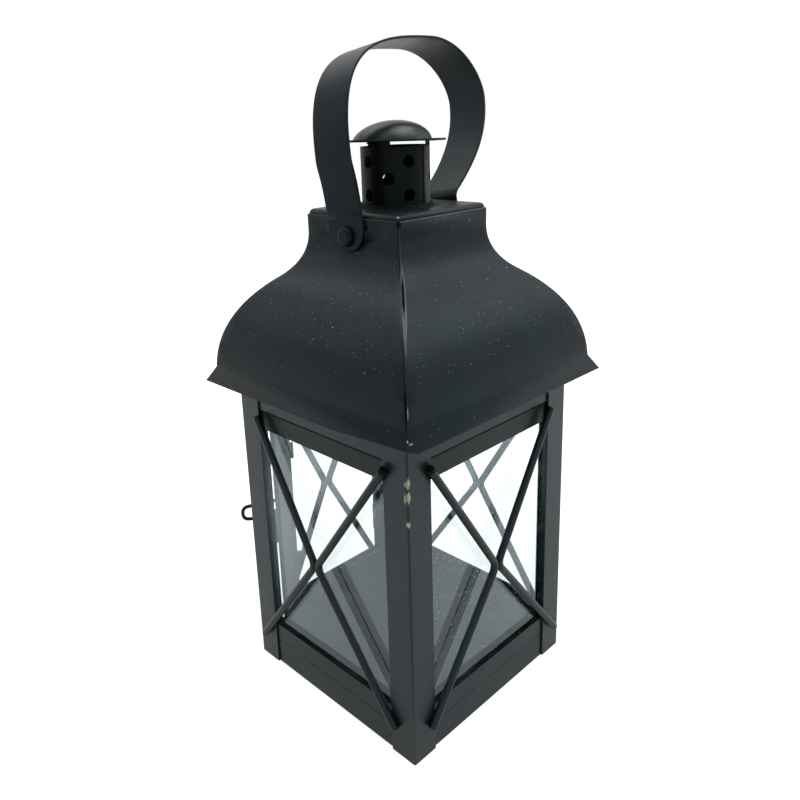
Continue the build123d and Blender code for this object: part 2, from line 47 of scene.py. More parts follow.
# Sizes in metres, turns in degrees
SHEET = 0.0008
EDGE_ROUND = 0.00022
SHARP_TURN = 40
MERGE_REACH = 0.000002

# Spun cap: the dome sits to one side of the brim, drifts on as it rises, and tilts with the brim
CAP_LOW = 0.2960
CAP_RADIUS = 0.0256
CAP_SIDES = 80
CAP_LEAN = -0.6
CAP_NOD = 1.5
CAP_SIDEWAYS = Vector((-0.717, 0.696, 0.0))
CAP_FORWARD = Vector((0.716, 0.698, 0.0))
BRIM_ROLL = 0.00055
BRIM_START = -140
BRIM_STEP = 35
DOME_RADIUS = 0.0199
DOME_HEIGHT = 0.0094
DOME_FOOT = 12
DOME_STEP = 8.667
DOME_ASIDE = 0.0013
DOME_DRIFT = 0.17
RINGS = 9

# Trim of the eave at the rear right corner: a point on each cut and the way it faces
RIGHT_TRIM = (0.0755, 0.0300, 0.1733), (0.515, 0.057, -0.855)
REAR_TRIM = (0.0680, 0.0755, 0.1733), (0.375, 0.478, -0.794)

# Solder line under the hips: distance out along X and Y, and height. The two knees pull its curves.
SEAM_TOP = (0.0306, 0.2590)
SEAM_COLLAR = (0.0306, 0.2535)
UPPER_KNEE = (0.0306, 0.2375)
SEAM_TURN = (0.0433, 0.2280)
LOWER_KNEE = (0.0668, 0.2096)
SEAM_FOOT = (0.0690, 0.1834)
SEAM_STEPS = 6
SEAM_WIDTH = 0.0024
SEAM_DEPTH = 0.0004

# Camera: place and near limit in metres, lens and sensor in millimetres.
# The shift is a share of the picture's width.
CAMERA_PLACE = (0.27979, 0.27274, 0.30848)
CAMERA_RIGHT = (-0.71731, 0.69571, -0.03827)
CAMERA_DOWN = (0.21447, 0.16820, -0.96214)
CAMERA_FORWARD = (-0.66293, -0.69836, -0.26986)
CAMERA_LENS = 34.242
CAMERA_SHIFT = (0.0354, -0.0884)
SENSOR_WIDTH = 36.0
NEAR_CLIP = 0.01

# Studio: floor and lamp aim in metres, and the surround's light where it isn't seen
FLOOR_SIZE = 8.0
LAMP_AIM = Vector((0.0, 0.0, 0.15))
SURROUND_LIGHT = 0.24
WHITE = (1.0, 1.0, 1.0, 1.0)
PAPER = (0.4, 0.4, 0.4, 1.0)

# Colours under and over the paint, which also serve for painted shade and painted highlights, and the tint
# of its shine
CREAM = (0.78, 0.76, 0.56)
STEEL = (0.62, 0.63, 0.60)
RUST = (0.20, 0.17, 0.07)
BLACK = (0.002, 0.002, 0.002)
GREY = (0.13, 0.135, 0.14)
DUST = (0.46, 0.50, 0.51, 1.0)
SHINE = (0.80, 0.95, 1.0, 1.0)

# Painted lines, in metres: their soft edges, where the rear right hip lies, and the posts' corners,
# darkened with painted shade.
# HIP_TAPER is a share of a line's length. DIAGONAL makes a distance of a difference of X and Y.
LINE_EDGE = 0.00012
HIP_EDGE = 0.00025
HIP_OUT = 0.04
HIP_TAPER = 0.35
DIAGONAL = 0.7071
ARRIS_START = 0.0611
ARRIS_FULL = 0.0619

# Pebbled skin of the paint and the slow waves of the sheet under it, in metres
SKIN_DEPTH = 0.0003
WAVE_DEPTH = 0.002

# Glass: the index that sets how strongly it mirrors, and its colours
GLASS_INDEX = 1.6
GLASS_CLEAR = (0.975, 1.0, 0.997, 1.0)
GLASS_MIRROR = (0.84, 0.96, 1.0, 1.0)
GLASS_EDGE = (0.02, 0.055, 0.05, 1.0)
GLASS_DUST = (0.80, 0.88, 0.90, 1.0)


# Shader helpers


def add_node(tree, kind, inputs=None, **settings):
    """Adds a shader node; an input is a value or another node's output."""
    made = tree.nodes.new(kind)
    for name, value in settings.items():
        setattr(made, name, value)
    for socket, value in (inputs or {}).items():
        if isinstance(value, bpy.types.NodeSocket):
            tree.links.new(value, made.inputs[socket])
        else:
            made.inputs[socket].default_value = value
    return made


def math_node(tree, operation, first, second=0.0, clamp=False):
    made = add_node(tree, "ShaderNodeMath", {0: first, 1: second}, operation=operation, use_clamp=clamp)
    return made.outputs[0]


def vector_length(tree, vector):
    return add_node(tree, "ShaderNodeVectorMath", {0: vector}, operation="LENGTH").outputs["Value"]


def axes(tree, vector):
    """The X, Y and Z outputs of a vector, by name."""
    return add_node(tree, "ShaderNodeSeparateXYZ", {0: vector}).outputs


def blank_material(name):
    material = bpy.data.materials.new(name)
    material.use_nodes = True
    return material, material.node_tree, material.node_tree.nodes["Principled BSDF"]


def object_point(tree):
    return add_node(tree, "ShaderNodeTexCoord").outputs["Object"]


def shape_node(tree):
    return add_node(tree, "ShaderNodeNewGeometry").outputs


def placed(tree, point, **mapping):
    """The point after a Mapping node, whose inputs are given by name."""
    inputs = {name.capitalize(): value for name, value in mapping.items()}
    return add_node(tree, "ShaderNodeMapping", {"Vector": point, **inputs}).outputs[0]


def noise(tree, point, scale, detail=3.0, rough=0.5):
    inputs = {"Vector": point, "Scale": scale, "Detail": detail, "Roughness": rough}
    return add_node(tree, "ShaderNodeTexNoise", inputs).outputs["Fac"]


def spread(tree, value, low, high, to_low=0.0, to_high=1.0):
    """Maps a value from one range to another, and holds it inside the second."""
    inputs = {"Value": value, "From Min": low, "From Max": high, "To Min": to_low, "To Max": to_high}
    return add_node(tree, "ShaderNodeMapRange", inputs).outputs["Result"]


def mix_colour(tree, share, first, second):
    return add_node(tree, "ShaderNodeMix", {0: share, 6: first, 7: second}, data_type="RGBA").outputs[2]


def specks(tree, point, scale, size, share):
    """Sparse round dots: 1 on a dot, 0 elsewhere. Share is how many cells hold one."""
    cells = add_node(tree, "ShaderNodeTexVoronoi", {"Vector": point, "Scale": scale})
    chance = add_node(tree, "ShaderNodeSeparateColor", {"Color": cells.outputs["Color"]})
    held = math_node(tree, "LESS_THAN", chance.outputs["Red"], share)
    reach = spread(tree, chance.outputs["Green"], 0.0, 1.0, 0.5 * size, size)
    inside = math_node(tree, "SUBTRACT", reach, cells.outputs["Distance"])
    soft = spread(tree, inside, 0.0, 0.35 * size)
    return math_node(tree, "MULTIPLY", soft, held, clamp=True)


def near_spot(tree, point, place, reach):
    """1 at a place on the object, fading to 0 at its reach along each axis."""
    scale = tuple(1 / part for part in reach)
    start = tuple(-part / size for part, size in zip(place, reach))
    local = placed(tree, point, scale=scale, location=start)
    return spread(tree, vector_length(tree, local), 1.0, 0.0)


def between(tree, value, low, high, soft):
    """1 where a value lies between two limits, with soft ends."""
    start = spread(tree, value, low, low + soft)
    stop = spread(tree, value, high, high - soft)
    return math_node(tree, "MULTIPLY", start, stop)


# Marks on the paint, of wear and dirt and of painted light and shade: each is a mask, a colour and how
# deep it cuts


def chip(place, reach, colour, share):
    """Paint knocked off round a place, with a ragged edge."""

    def mask(tree, point):
        spot = near_spot(tree, point, place, reach)
        ragged = math_node(tree, "SUBTRACT", noise(tree, point, scale=1250.0, detail=4.0, rough=0.7), 0.5)
        worn = math_node(tree, "ADD", spot, math_node(tree, "MULTIPLY", ragged, 2.6))
        bare = spread(tree, worn, 1.0 - share, 1.1 - share)
        return math_node(tree, "MULTIPLY", bare, spread(tree, spot, 0.0, 0.2), clamp=True)

    return mask, colour, 1.0


def stain_and_painted_light(place, reach, colour, strength, edge=1.0):
    """A soft-edged patch of another colour, for real stains and for painted light and shade; a small edge
    makes it crisp.
    """

    def mask(tree, point):
        patch = spread(tree, near_spot(tree, point, place, reach), 0.0, edge)
        return math_node(tree, "MULTIPLY", patch, strength)

    return mask, colour, 0.0


def flecks(place, reach, colour):
    """A scatter of fine spots round a place, thinning out to its reach."""

    def mask(tree, point):
        share = spread(tree, near_spot(tree, point, place, reach), 0.0, 0.7, 0.0, 0.6)
        return specks(tree, point, scale=1100.0, size=0.45, share=share)

    return mask, colour, 0.0


def painted_level_line(low, high, colour, strength, axis=None, past=0.0):
    """A level line between two heights, on one face where an axis is given, used for painted shadows and
    highlights.
    """

    def mask(tree, point):
        parts = axes(tree, point)
        line = between(tree, parts["Z"], low, high, LINE_EDGE)
        if axis:
            face = math_node(tree, "GREATER_THAN", parts[axis], past)
            line = math_node(tree, "MULTIPLY", line, face)
        return math_node(tree, "MULTIPLY", line, strength)

    return mask, colour, 0.0


def hip_line(low, high, middle, half_width, colour, strength):
    """A line down the hip that faces +X +Y, tapering to its ends; middle is its shift to the +Y side."""

    def mask(tree, point):
        parts = axes(tree, point)
        aside = math_node(tree, "SUBTRACT", parts["Y"], parts["X"])
        aside = math_node(tree, "SUBTRACT", math_node(tree, "MULTIPLY", aside, DIAGONAL), middle)
        out = math_node(tree, "ADD", parts["X"], parts["Y"])
        this_hip = math_node(tree, "GREATER_THAN", out, HIP_OUT)
        taper = between(tree, parts["Z"], low, high, HIP_TAPER * (high - low))
        room = math_node(tree, "MULTIPLY", taper, half_width)
        room = math_node(tree, "SUBTRACT", room, math_node(tree, "ABSOLUTE", aside))
        line = spread(tree, room, 0.0, HIP_EDGE)
        return math_node(tree, "MULTIPLY", math_node(tree, "MULTIPLY", line, this_hip), strength)

    return mask, colour, 0.0


def painted_arris_shade(colour, strength):
    """The rolled corner of a post, darkened with painted shade."""

    def mask(tree, point):
        parts = axes(tree, point)
        along_x = math_node(tree, "ABSOLUTE", parts["X"])
        along_y = math_node(tree, "ABSOLUTE", parts["Y"])
        corner = spread(tree, math_node(tree, "MINIMUM", along_x, along_y), ARRIS_START, ARRIS_FULL)
        return math_node(tree, "MULTIPLY", corner, strength)

    return mask, colour, 0.0


def painted_shade_facing_up(colour, strength):
    """Painted shade on faces that lie level and look up."""

    def mask(tree, point):
        up = axes(tree, shape_node(tree)["True Normal"])["Z"]
        return spread(tree, up, 0.5, 0.9, 0.0, strength)

    return mask, colour, 0.0


def dark_brim(inner, outer, colour, strength):
    """The brim of the cap, darker from one radius out to another."""

    def mask(tree, point):
        flat = add_node(tree, "ShaderNodeVectorMath", {0: point, 1: (1.0, 1.0, 0.0)}, operation="MULTIPLY")
        return spread(tree, vector_length(tree, flat.outputs[0]), inner, outer, 0.0, strength)

    return mask, colour, 0.0


# Finishes


def lying_dust(tree, point, dust):
    """Pale dots on faces that look up, in drifts: 1 on a dot, 0 elsewhere."""
    up = axes(tree, shape_node(tree)["Normal"])["Z"]
    lying = spread(tree, up, 0.05, 0.55, 0.04, 1.0)
    drift = noise(tree, point, scale=24.0, detail=2.0)
    patchy = spread(tree, drift, 0.35, 0.62, 0.25 * dust, dust)
    share = math_node(tree, "MULTIPLY", lying, patchy)
    fine = specks(tree, point, scale=520.0, size=0.15, share=share)
    fewer = math_node(tree, "MULTIPLY", share, 0.7)
    coarse = specks(tree, point, scale=210.0, size=0.08, share=fewer)
    return math_node(tree, "MAXIMUM", math_node(tree, "MULTIPLY", fine, 0.7), coarse)


def black_paint(name, shade, rough, gloss, dust=0.0, marks=(), grain=None):
    """Charcoal paint: soft teal clouds, a fine pebbled skin, stray dust and its marks, which include
    painted light and shade. Black marks are dull.
    """
    material, tree, shader = blank_material(name)
    point = object_point(tree)
    blotch = noise(tree, point, scale=38.0, detail=4.0, rough=0.6)
    cast = noise(tree, point, scale=21.0, detail=2.0)
    dark = tuple(0.80 * part for part in shade) + (1.0,)
    light = tuple(1.20 * part for part in shade) + (1.0,)
    teal = (0.62 * shade[0], 1.16 * shade[1], 1.12 * shade[2], 1.0)
    colour = mix_colour(tree, spread(tree, blotch, 0.3, 0.7), dark, light)
    colour = mix_colour(tree, spread(tree, cast, 0.42, 0.66, 0.0, 0.8), colour, teal)
    if grain:
        brushed = placed(tree, point, scale=grain)
        streak = spread(tree, noise(tree, brushed, scale=1.0, detail=3.0), 0.52, 0.75, 0.0, 0.8)
        colour = mix_colour(tree, streak, colour, tuple(1.9 * part for part in shade) + (1.0,))
    height = noise(tree, point, scale=1500.0, detail=2.0)
    rougher = spread(tree, blotch, 0.25, 0.75, rough - 0.06, rough + 0.06)
    for mask, mark_colour, depth in marks:
        share = mask(tree, point)
        colour = mix_colour(tree, share, colour, mark_colour + (1.0,))
        if mark_colour == BLACK:
            rougher = math_node(tree, "MAXIMUM", rougher, share)
        if depth:
            height = math_node(tree, "SUBTRACT", height, share)
    if dust:
        colour = mix_colour(tree, lying_dust(tree, point, dust), colour, DUST)
    swell = noise(tree, point, scale=26.0, detail=2.0)
    inputs = {"Height": swell, "Strength": 0.25, "Distance": WAVE_DEPTH}
    waves = add_node(tree, "ShaderNodeBump", inputs).outputs["Normal"]
    inputs = {"Height": height, "Strength": 0.12, "Distance": SKIN_DEPTH, "Normal": waves}
    skin = add_node(tree, "ShaderNodeBump", inputs).outputs["Normal"]
    tree.links.new(colour, shader.inputs["Base Color"])
    tree.links.new(rougher, shader.inputs["Roughness"])
    tree.links.new(skin, shader.inputs["Normal"])
    shader.inputs["Specular IOR Level"].default_value = gloss
    shader.inputs["Specular Tint"].default_value = SHINE
    return material


def glass_dirt(tree, point, grain, film):
    """How dirty a pane is, from 0 to 1.

    It carries dust grains, fine upright lines, wiped smears and a film in one corner."""
    drift = noise(tree, point, scale=42.0, detail=2.0)
    patchy = spread(tree, drift, 0.42, 0.66, 0.20, 0.65)
    dots = specks(tree, point, scale=430.0, size=grain, share=patchy)
    grains = math_node(tree, "MULTIPLY", dots, 0.95)
    streaks = placed(tree, point, scale=(900.0, 900.0, 14.0))
    lines = spread(tree, noise(tree, streaks, scale=1.0, detail=2.0), 0.66, 0.78, 0.0, 0.03)
    smear = placed(tree, point, scale=(60.0, 60.0, 150.0), rotation=(0.5, 0.5, 0.0))
    wiped = noise(tree, smear, scale=1.0, detail=4.0, rough=0.6)
    wiped = spread(tree, wiped, 0.55, 0.72, 0.0, 0.07)
    corner = near_spot(tree, point, (0.0600, -0.0500, 0.1000), (0.0200, 0.0380, 0.0800))
    wiped = math_node(tree, "MAXIMUM", wiped, math_node(tree, "MULTIPLY", corner, film))
    return math_node(tree, "MAXIMUM", grains, math_node(tree, "MAXIMUM", lines, wiped))


def window_glass(name, across, grain, film=0.0):
    """Clear pane that mirrors by its slope to the eye, dusty on its faces and dark green at its cut edges.

    Across is the world axis that the pane's faces look along at rest. A pane that has swung more than
    60 degrees from it is taken for an edge all over, and turns dark."""
    material, tree, edge = blank_material(name)
    edge.inputs["Base Color"].default_value = GLASS_EDGE
    edge.inputs["Roughness"].default_value = 0.25
    shape = shape_node(tree)
    index = spread(tree, shape["Backfacing"], 0.0, 1.0, GLASS_INDEX, 1 / GLASS_INDEX)
    slope = add_node(tree, "ShaderNodeFresnel", {"IOR": index}).outputs[0]
    clear = add_node(tree, "ShaderNodeBsdfTransparent", {"Color": GLASS_CLEAR}).outputs[0]
    mirror = add_node(tree, "ShaderNodeBsdfGlossy", {"Color": GLASS_MIRROR, "Roughness": 0.015}).outputs[0]
    pane = add_node(tree, "ShaderNodeMixShader", {0: slope, 1: clear, 2: mirror}).outputs[0]
    dirt = glass_dirt(tree, object_point(tree), grain, film)
    pale = mix_colour(tree, dirt, (0.0, 0.0, 0.0, 1.0), GLASS_DUST)
    dust = add_node(tree, "ShaderNodeBsdfDiffuse", {"Color": pale}).outputs[0]
    lit_through = add_node(tree, "ShaderNodeBsdfTranslucent", {"Color": pale}).outputs[0]
    both = add_node(tree, "ShaderNodeMixShader", {0: 0.5, 1: dust, 2: lit_through}).outputs[0]
    dusty = add_node(tree, "ShaderNodeAddShader", {0: pane, 1: both}).outputs[0]
    facing = math_node(tree, "ABSOLUTE", axes(tree, shape["True Normal"])[across])
    rim = math_node(tree, "LESS_THAN", facing, 0.5)
    cut = add_node(tree, "ShaderNodeMixShader", {0: rim, 1: dusty, 2: edge.outputs[0]}).outputs[0]
    tree.links.new(cut, tree.nodes["Material Output"].inputs["Surface"])
    return material


def dress(names, material):
    for name in names:
        slots = nodes[name].data.materials
        slots.clear()
        slots.append(material)


def round_edges(piece):
    """Adds a bevel for the edges of sheet and strip, which no press leaves knife sharp."""
    edge = piece.modifiers.new("round_edges", "BEVEL")
    edge.width = EDGE_ROUND
    edge.segments = 2
    edge.limit_method = "ANGLE"
    edge.angle_limit = math.radians(SHARP_TURN)
    edge.use_clamp_overlap = False
    return edge


def soften(names):
    for name in names:
        join = nodes[name].modifiers.new("join_facets", "WELD")
        join.merge_threshold = MERGE_REACH
        round_edges(nodes[name]).harden_normals = True


# Modelled pieces


def select_only(piece):
    bpy.ops.object.select_all(action="DESELECT")
    bpy.context.view_layer.objects.active = piece
    piece.select_set(True)


def copied_piece(name, mesh):
    """A new object in the scene with its own copy of a mesh."""
    piece = bpy.data.objects.new(name, mesh.copy())
    bpy.context.scene.collection.objects.link(piece)
    return piece


def finish_piece(piece, body, material, replaced=()):
    """Merges doubles, turns faces outwards, smooths and hands the piece to its body."""
    bpy.ops.object.mode_set(mode="EDIT")
    bpy.ops.mesh.select_all(action="SELECT")
    bpy.ops.mesh.remove_doubles(threshold=MERGE_REACH)
    bpy.ops.mesh.normals_make_consistent(inside=False)
    bpy.ops.object.mode_set(mode="OBJECT")
    bpy.ops.object.transform_apply(location=True, rotation=True, scale=True)
    bpy.ops.object.shade_smooth_by_angle(angle=math.radians(SHARP_TURN))
    piece.data.materials.clear()
    piece.data.materials.append(material)
    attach(piece, body)
    if replaced:
        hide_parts(*replaced)


def dome_ring(degrees, radius, low, height):
    """A ring of a dome at a turn up from level: its radius, its height and its place to the side."""
    foot = math.radians(DOME_FOOT)
    turn = math.radians(degrees)
    rise = height * (math.sin(turn) - math.sin(foot)) / (1 - math.sin(foot))
    return radius / math.cos(foot) * math.cos(turn), low + rise, DOME_DRIFT * rise - DOME_ASIDE


def cap_rings():
    """Rings from under the dome, round the rolled brim and back over the dome."""
    inside, brim, outside = [], [], []
    for step in range(RINGS):
        down = 90 - DOME_STEP * (step + 1)
        inside.append(dome_ring(down, DOME_RADIUS - SHEET, CAP_LOW, DOME_HEIGHT - SHEET))
        turn = math.radians(BRIM_START + BRIM_STEP * step)
        edge = CAP_RADIUS - BRIM_ROLL + BRIM_ROLL * math.cos(turn)
        brim.append((edge, CAP_LOW + SHEET / 2 + BRIM_ROLL * math.sin(turn), 0.0))
        outside.append(dome_ring(DOME_FOOT + DOME_STEP * step, DOME_RADIUS, CAP_LOW + SHEET, DOME_HEIGHT))
    return inside + brim + outside


def spun_cap(material):
    """Chimney cap: one ring drawn out along the cap's section, then tilted as it was set by hand."""
    rings = cap_rings()
    radius, height, aside = rings[0]
    bpy.ops.object.select_all(action="DESELECT")
    bpy.ops.mesh.primitive_circle_add(vertices=CAP_SIDES, radius=radius, location=(0, 0, height))
    piece = bpy.context.object
    piece.name = "spun_cap"
    bpy.ops.object.mode_set(mode="EDIT")
    bpy.ops.mesh.select_all(action="SELECT")
    bpy.ops.mesh.edge_face_add()
    bpy.ops.transform.translate(value=CAP_SIDEWAYS * aside)
    bpy.ops.mesh.region_to_loop()
    for before, after in zip(rings, rings[1:]):
        stop = CAP_SIDEWAYS * after[2]
        move = stop - CAP_SIDEWAYS * before[2]
        bpy.ops.mesh.extrude_edges_move(
            TRANSFORM_OT_translate={"value": (move.x, move.y, after[1] - before[1])}
        )
        grow = after[0] / before[0]
        bpy.ops.transform.resize(value=(grow, grow, 1.0), center_override=(stop.x, stop.y, after[1]))
    bpy.ops.mesh.edge_face_add()
    bpy.ops.mesh.poke()
    bpy.ops.object.mode_set(mode="OBJECT")
    lean = Matrix.Rotation(math.radians(CAP_LEAN), 4, CAP_FORWARD)
    nod = Matrix.Rotation(math.radians(CAP_NOD), 4, -CAP_SIDEWAYS)
    lift = Matrix.Translation((0, 0, CAP_LOW))
    piece.matrix_world = lift @ nod @ lean @ lift.inverted() @ piece.matrix_world
    finish_piece(piece, "body", material, ("chimney_cap",))


def trimmed_roof(name, node, trim, material):
    """Roof panel with the tip of its eave trimmed back at the rear right corner."""
    place, way = trim
    piece = copied_piece(name, nodes[node].data)
    select_only(piece)
    bpy.ops.object.mode_set(mode="EDIT")
    bpy.ops.mesh.select_all(action="SELECT")
    bpy.ops.mesh.remove_doubles(threshold=MERGE_REACH)
    bpy.ops.mesh.bisect(plane_co=place, plane_no=way, use_fill=True, clear_outer=True)
    bpy.ops.object.mode_set(mode="OBJECT")
    round_edges(piece)
    bpy.ops.object.modifier_apply(modifier="round_edges")
    finish_piece(piece, "body", material, (node,))


def curve_points(start, knee, stop):
    """Points along a curve that its knee pulls, from just past its start to its stop."""
    points = []
    for step in range(1, SEAM_STEPS + 1):
        after = step / SEAM_STEPS
        before = 1 - after
        weights = (before * before, 2 * before * after, after * after)
        points.append([sum(w * p for w, p in zip(weights, parts)) for parts in zip(start, knee, stop)])
    return points


def solder_strip():
    """A narrow strip drawn down behind the two panels that meet at the rear right hip."""
    out, top = SEAM_TOP
    bpy.ops.object.select_all(action="DESELECT")
    bpy.ops.mesh.primitive_plane_add(size=SEAM_WIDTH, rotation=(math.radians(90), 0.0, math.radians(135)))
    piece = bpy.context.object
    bpy.ops.transform.translate(value=(out, out, top))
    bpy.ops.object.transform_apply(location=True, rotation=True, scale=True)
    bpy.ops.object.mode_set(mode="EDIT")
    bpy.ops.mesh.select_mode(type="EDGE")
    bpy.ops.mesh.select_all(action="DESELECT")
    bpy.ops.object.mode_set(mode="OBJECT")
    for edge in piece.data.edges:
        edge.select = all(piece.data.vertices[end].co.z < top for end in edge.vertices)
    bpy.ops.object.mode_set(mode="EDIT")
    line = [SEAM_TOP, SEAM_COLLAR]
    line += curve_points(SEAM_COLLAR, UPPER_KNEE, SEAM_TURN)
    line += curve_points(SEAM_TURN, LOWER_KNEE, SEAM_FOOT)
    for before, after in zip(line, line[1:]):
        aside, rise = after[0] - before[0], after[1] - before[1]
        bpy.ops.mesh.extrude_edges_move(TRANSFORM_OT_translate={"value": (aside, aside, rise)})
    bpy.ops.object.mode_set(mode="OBJECT")
    depth = piece.modifiers.new("solder_depth", "SOLIDIFY")
    depth.thickness = SEAM_DEPTH
    depth.offset = 0.0
    bpy.ops.object.modifier_apply(modifier="solder_depth")
    return piece


def hip_seams(material):
    """Solder run inside each hip: one strip, copied to the other three corners."""
    strips = [solder_strip()]
    for turn in (90, 180, 270):
        strip = copied_piece("strip", strips[0].data)
        strip.matrix_world = Matrix.Rotation(math.radians(turn), 4, "Z")
        strips.append(strip)
    for corner, strip in zip(("rear_right", "rear_left", "front_left", "front_right"), strips):
        select_only(strip)
        strip.name = corner + "_hip_seam"
        finish_piece(strip, "body", material)


# Studio and camera


def light_paths(tree, *kinds):
    """1 on rays of any of the kinds, 0 on others."""
    paths = add_node(tree, "ShaderNodeLightPath").outputs
    seen = paths[kinds[0]]
    for kind in kinds[1:]:
        seen = math_node(tree, "MAXIMUM", seen, paths[kind])
    return seen


def white_surround():
    """World that shows white and lights the object softly."""
    world = bpy.data.worlds.new("white_surround")
    world.use_nodes = True
    bpy.context.scene.world = world
    tree = world.node_tree
    seen = light_paths(tree, "Is Camera Ray", "Is Transmission Ray", "Is Glossy Ray")
    background = tree.nodes["Background"]
    background.inputs["Color"].default_value = WHITE
    tree.links.new(spread(tree, seen, 0.0, 1.0, SURROUND_LIGHT, 1.0), background.inputs["Strength"])


def white_floor():
    """Floor that shows white, dimmer close to the lantern so that it keeps a shadow."""
    bpy.ops.object.select_all(action="DESELECT")
    bpy.ops.mesh.primitive_plane_add(size=FLOOR_SIZE)
    floor = bpy.context.object
    floor.name = "floor"
    paper, tree, shader = blank_material("white_paper")
    shader.inputs["Base Color"].default_value = PAPER
    shader.inputs["Roughness"].default_value = 0.9
    shader.inputs["Specular IOR Level"].default_value = 0.0
    far = vector_length(tree, object_point(tree))
    seen = light_paths(tree, "Is Camera Ray", "Is Transmission Ray")
    straight = math_node(tree, "MULTIPLY", seen, spread(tree, far, 0.09, 0.4, 0.87, 1.0))
    glossy = light_paths(tree, "Is Glossy Ray")
    mirrored = math_node(tree, "MULTIPLY", glossy, spread(tree, far, 0.08, 0.6, 0.58, 1.0))
    glow = math_node(tree, "MAXIMUM", straight, mirrored)
    light = add_node(tree, "ShaderNodeEmission", {"Strength": glow}).outputs[0]
    both = add_node(tree, "ShaderNodeAddShader", {0: shader.outputs[0], 1: light}).outputs[0]
    tree.links.new(both, tree.nodes["Material Output"].inputs["Surface"])
    floor.data.materials.append(paper)


def softbox(name, place, size, watts):
    """A square lamp aimed at the middle of the lantern."""
    light = bpy.data.lights.new(name, "AREA")
    light.size = size
    light.energy = watts
    lamp = bpy.data.objects.new(name, light)
    lamp.location = place
    aim = LAMP_AIM - Vector(place)
    lamp.rotation_euler = aim.to_track_quat("-Z", "Y").to_euler()
    bpy.context.scene.collection.objects.link(lamp)


def photo_camera():
    data = bpy.data.cameras.new("photo_camera")
    data.lens = CAMERA_LENS
    data.sensor_width = SENSOR_WIDTH
    data.shift_x, data.shift_y = CAMERA_SHIFT
    data.clip_start = NEAR_CLIP
    camera = bpy.data.objects.new("photo_camera", data)
    right, down, forward = Vector(CAMERA_RIGHT), Vector(CAMERA_DOWN), Vector(CAMERA_FORWARD)
    turn = Matrix((right, -down, -forward)).transposed()
    camera.matrix_world = Matrix.Translation(CAMERA_PLACE) @ turn.to_4x4()
    bpy.context.scene.collection.objects.link(camera)
    bpy.context.scene.camera = camera


# Wear, dirt and painted light and shade of each finish
post_marks = (
    painted_arris_shade((0.004, 0.005, 0.005), 0.9),
    chip((0.0619, 0.0625, 0.1527), (0.0015, 0.0013, 0.0036), CREAM, 0.72),
    chip((0.0625, 0.0611, 0.1522), (0.0010, 0.0009, 0.0017), CREAM, 0.66),
    chip((0.0619, 0.0625, 0.1456), (0.0016, 0.0013, 0.0040), CREAM, 0.72),
    chip((0.0625, 0.0609, 0.1450), (0.0010, 0.0011, 0.0036), CREAM, 0.60),
    chip((0.0621, 0.0621, 0.1325), (0.0016, 0.0016, 0.0020), CREAM, 0.66),
    # Painted light: a paler patch low on the +X face near the -Y corner.
    stain_and_painted_light((0.0625, -0.0570, 0.0500), (0.0060, 0.0120, 0.0900), (0.026, 0.036, 0.041), 0.8, 0.5),
    # Weld burns where the rods end on the +X +Y corner post, darkened further with painted shade under the
    # eave.
    stain_and_painted_light((0.0625, 0.0512, 0.1574), (0.0030, 0.0052, 0.0046), BLACK, 0.92, 0.7),
    stain_and_painted_light((0.0507, 0.0625, 0.1570), (0.0052, 0.0030, 0.0046), BLACK, 0.92, 0.7),
)
base_marks = (painted_shade_facing_up(BLACK, 0.9),)
rod_marks = (
    # The rods' top ends by the +X +Y corner post: weld burns, darkened further with painted shade under
    # the eave.
    stain_and_painted_light((0.0645, 0.0505, 0.1572), (0.0048, 0.0048, 0.0048), BLACK, 0.95, 0.3),
    stain_and_painted_light((0.0505, 0.0645, 0.1572), (0.0048, 0.0048, 0.0048), BLACK, 0.95, 0.3),
)
# Painted shadow under the top band's lower edge, along the head rails.
rail_painted_shadow = (painted_level_line(0.1578, 0.1594, BLACK, 0.85),)
roof_marks = (
    # Painted light: paler patches on the upper +X slope, low on the +X face and on the +Y slope.
    stain_and_painted_light((0.0370, 0.0050, 0.2385), (0.0140, 0.0600, 0.0100), (0.034, 0.040, 0.046), 0.8, 0.5),
    stain_and_painted_light((0.0590, 0.0, 0.2130), (0.0200, 0.0750, 0.0110), (0.028, 0.034, 0.039), 0.6, 0.5),
    stain_and_painted_light((0.0, 0.0450, 0.2310), (0.0750, 0.0300, 0.0240), (0.027, 0.032, 0.037), 0.35, 0.6),
    # The grey lines down the hip are painted highlights on its edges.
    hip_line(0.2090, 0.2450, 0.0010, 0.0014, GREY, 0.85),
    hip_line(0.2215, 0.2400, 0.0010, 0.0008, BLACK, 1.0),
    hip_line(0.2380, 0.2620, 0.0004, 0.0004, GREY, 0.5),
    hip_line(0.1815, 0.2040, 0.0, 0.0007, BLACK, 0.9),
    hip_line(0.1855, 0.1935, 0.0009, 0.0003, STEEL, 0.7),
    stain_and_painted_light((0.0717, 0.0722, 0.1790), (0.0005, 0.0005, 0.0020), STEEL, 0.9, 0.5),
    stain_and_painted_light((0.0704, 0.0731, 0.1775), (0.0014, 0.0009, 0.0004), STEEL, 0.8, 0.5),
    stain_and_painted_light((0.0324, 0.0128, 0.2592), (0.0020, 0.0024, 0.0042), (0.075, 0.08, 0.065), 0.85, 0.8),
    # Painted highlights along the collar's top edge, stronger on the +Y face.
    painted_level_line(0.26115, 0.2618, GREY, 0.9, "Y", 0.0318),
    painted_level_line(0.26125, 0.2618, GREY, 0.35, "X", 0.0318),
    # Painted shade in the gap at the collar's +X +Y corner.
    stain_and_painted_light((0.0324, 0.0324, 0.2606), (0.0022, 0.0022, 0.0028), BLACK, 0.95, 0.4),
    stain_and_painted_light((0.0337, 0.0055, 0.2450), (0.0014, 0.0024, 0.0006), GREY, 0.7, 0.5),
)
